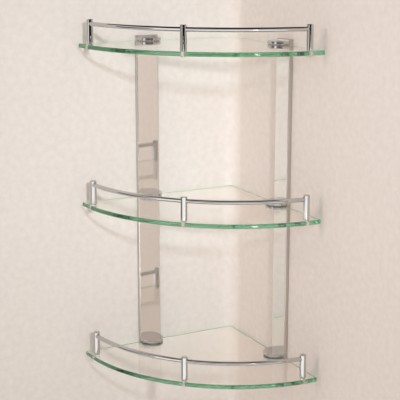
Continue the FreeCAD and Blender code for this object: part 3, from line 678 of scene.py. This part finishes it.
# %% Heads and recesses
def screw_form(head, recess, depth, floor_share, start, length, radius, pitch):
    """A screw in mm, end face at zero, point upward. Each step of its head is a radius and a height."""
    mesh = bmesh.new()
    rings = [ring(mesh, height, [r] * ROUND) for r, height in head]
    rings += thread(mesh, start, length - THREAD_DEPTH * pitch, radius, pitch)
    rings.append(ring(mesh, length, [radius - THREAD_DEPTH * pitch] * ROUND))
    skin(mesh, rings)
    mesh.faces.new(rings[-1])
    mouth = [mesh.verts.new((x, y, 0.0)) for x, y in recess]
    floor = [mesh.verts.new((x * floor_share, y * floor_share, depth)) for x, y in recess]
    skin(mesh, [mouth, floor])
    mesh.faces.new(floor)
    rims = [mesh.edges.get((loop[i - 1], loop[i])) for loop in (rings[0], mouth) for i in range(len(loop))]
    bmesh.ops.triangle_fill(mesh, use_beauty=True, edges=rims)
    bmesh.ops.recalc_face_normals(mesh, faces=mesh.faces)
    bmesh.ops.scale(mesh, vec=(MM, MM, MM), verts=mesh.verts)
    form = bpy.data.meshes.new("screw_form")
    mesh.to_mesh(form)
    mesh.free()
    return form


def cross(reach, half_width):
    """The outline of a cross recess."""
    quarter = [(reach, -half_width), (reach, half_width), (half_width, half_width)]
    points = []
    for _ in range(4):
        points += quarter
        quarter = [(-y, x) for x, y in quarter]
    return points


def hexagon(across_flats):
    """The outline of a hexagon socket."""
    corner = across_flats / math.sqrt(3)
    turns = [math.radians(60 * step) for step in range(6)]
    return [(corner * math.cos(turn), corner * math.sin(turn)) for turn in turns]


print(len(cross(1, 0.3)), "corners in a cross,", len(hexagon(1)), "in a socket")

# %% [markdown]
# There are three kinds. Low pan heads hold the posts from below, small countersunk heads lie flush in the
# lower clamp plates, and set screws without a head lock the uprights on their brackets.

# %% Three kinds of screw
M4 = {"radius": 2.0, "pitch": 0.7}
M3 = {"radius": 1.5, "pitch": 0.5}
PAN_RADIUS = 4.0
PAN_HEIGHT = 1.3
PAN_ROUNDING = 0.8
PAN_STEPS = 5

dome = [math.radians(90 * step / PAN_STEPS) for step in range(PAN_STEPS + 1)]
pan_head = [(PAN_RADIUS - PAN_ROUNDING * (1 - math.sin(t)), PAN_ROUNDING * (1 - math.cos(t))) for t in dome]
pan_head.append((PAN_RADIUS, PAN_HEIGHT))
pan_screw = screw_form(pan_head, cross(reach=2.2, half_width=0.55), depth=0.9, floor_share=0.55,
                       start=PAN_HEIGHT, length=17.3, **M4)
flat_head = [(2.8, 0.0), (1.55, 1.25)]
flat_screw = screw_form(flat_head, cross(reach=1.5, half_width=0.4), depth=1.1, floor_share=0.45,
                        start=1.3, length=8.0, **M3)
bevelled_end = [(1.2, 0.0)]
set_screw = screw_form(bevelled_end, hexagon(across_flats=1.5), depth=1.6, floor_share=1.0,
                       start=0.3, length=8.0, **M3)
for kind, form in (("pan", pan_screw), ("flat", flat_screw), ("set", set_screw)):
    print(kind, "screw of", len(form.vertices), "points")

# %% [markdown]
# Each screw goes where its blank is. The blanks of one node are separate solids, so the code walks from
# point to point along the edges to find which belong together, and the box round each solid gives the
# place. The screws under the glass point up, and the set screws point into the sides of the uprights.

# %% Put the screws in place
def solids(node):
    """The lowest and highest corner of each separate solid of a node."""
    mesh = welded(node)
    unreached = set(mesh.verts)
    boxes = []
    while unreached:
        reached = [unreached.pop()]
        for point in reached:
            others = {edge.other_vert(point) for edge in point.link_edges} & unreached
            unreached -= others
            reached += others
        corners = [[pick(point.co[axis] for point in reached) for axis in range(3)] for pick in (min, max)]
        boxes.append(tuple(Vector(corner) for corner in corners))
    mesh.free()
    return sorted(boxes, key=lambda box: tuple(box[0]))


def upward(low, high):
    """From the middle of a blank's lower end, straight up."""
    return Matrix.Translation(((low.x + high.x) / 2, (low.y + high.y) / 2, low.z))


def away_from_right_wall(low, high):
    """From the end that is nearer to the right wall, along the left wall."""
    end = Matrix.Translation(((low.x + high.x) / 2, high.y, (low.z + high.z) / 2))
    return end @ Matrix.Rotation(math.pi / 2, 4, "X")


def away_from_left_wall(low, high):
    """From the end that is nearer to the left wall, along the right wall."""
    end = Matrix.Translation((low.x, (low.y + high.y) / 2, (low.z + high.z) / 2))
    return end @ Matrix.Rotation(math.pi / 2, 4, "Y")


screws = {"channel_set_screws_left": (set_screw, away_from_right_wall),
          "channel_set_screws_right": (set_screw, away_from_left_wall)}
for level in LEVELS:
    screws[f"post_screws_{level}"] = (pan_screw, upward)
    screws[f"clamp_screws_{level}"] = (flat_screw, upward)
count = 0
for node, (form, lay) in screws.items():
    mesh = bmesh.new()
    for low, high in solids(node):
        placed = form.copy()
        placed.transform(lay(low, high))
        mesh.from_mesh(placed)
        bpy.data.meshes.remove(placed)
        count += 1
    stand_in(f"threaded_{node}", mesh, "zinc_steel", node)
for form in (pan_screw, flat_screw, set_screw):
    bpy.data.meshes.remove(form)
print(count, "screws with threads and recesses")
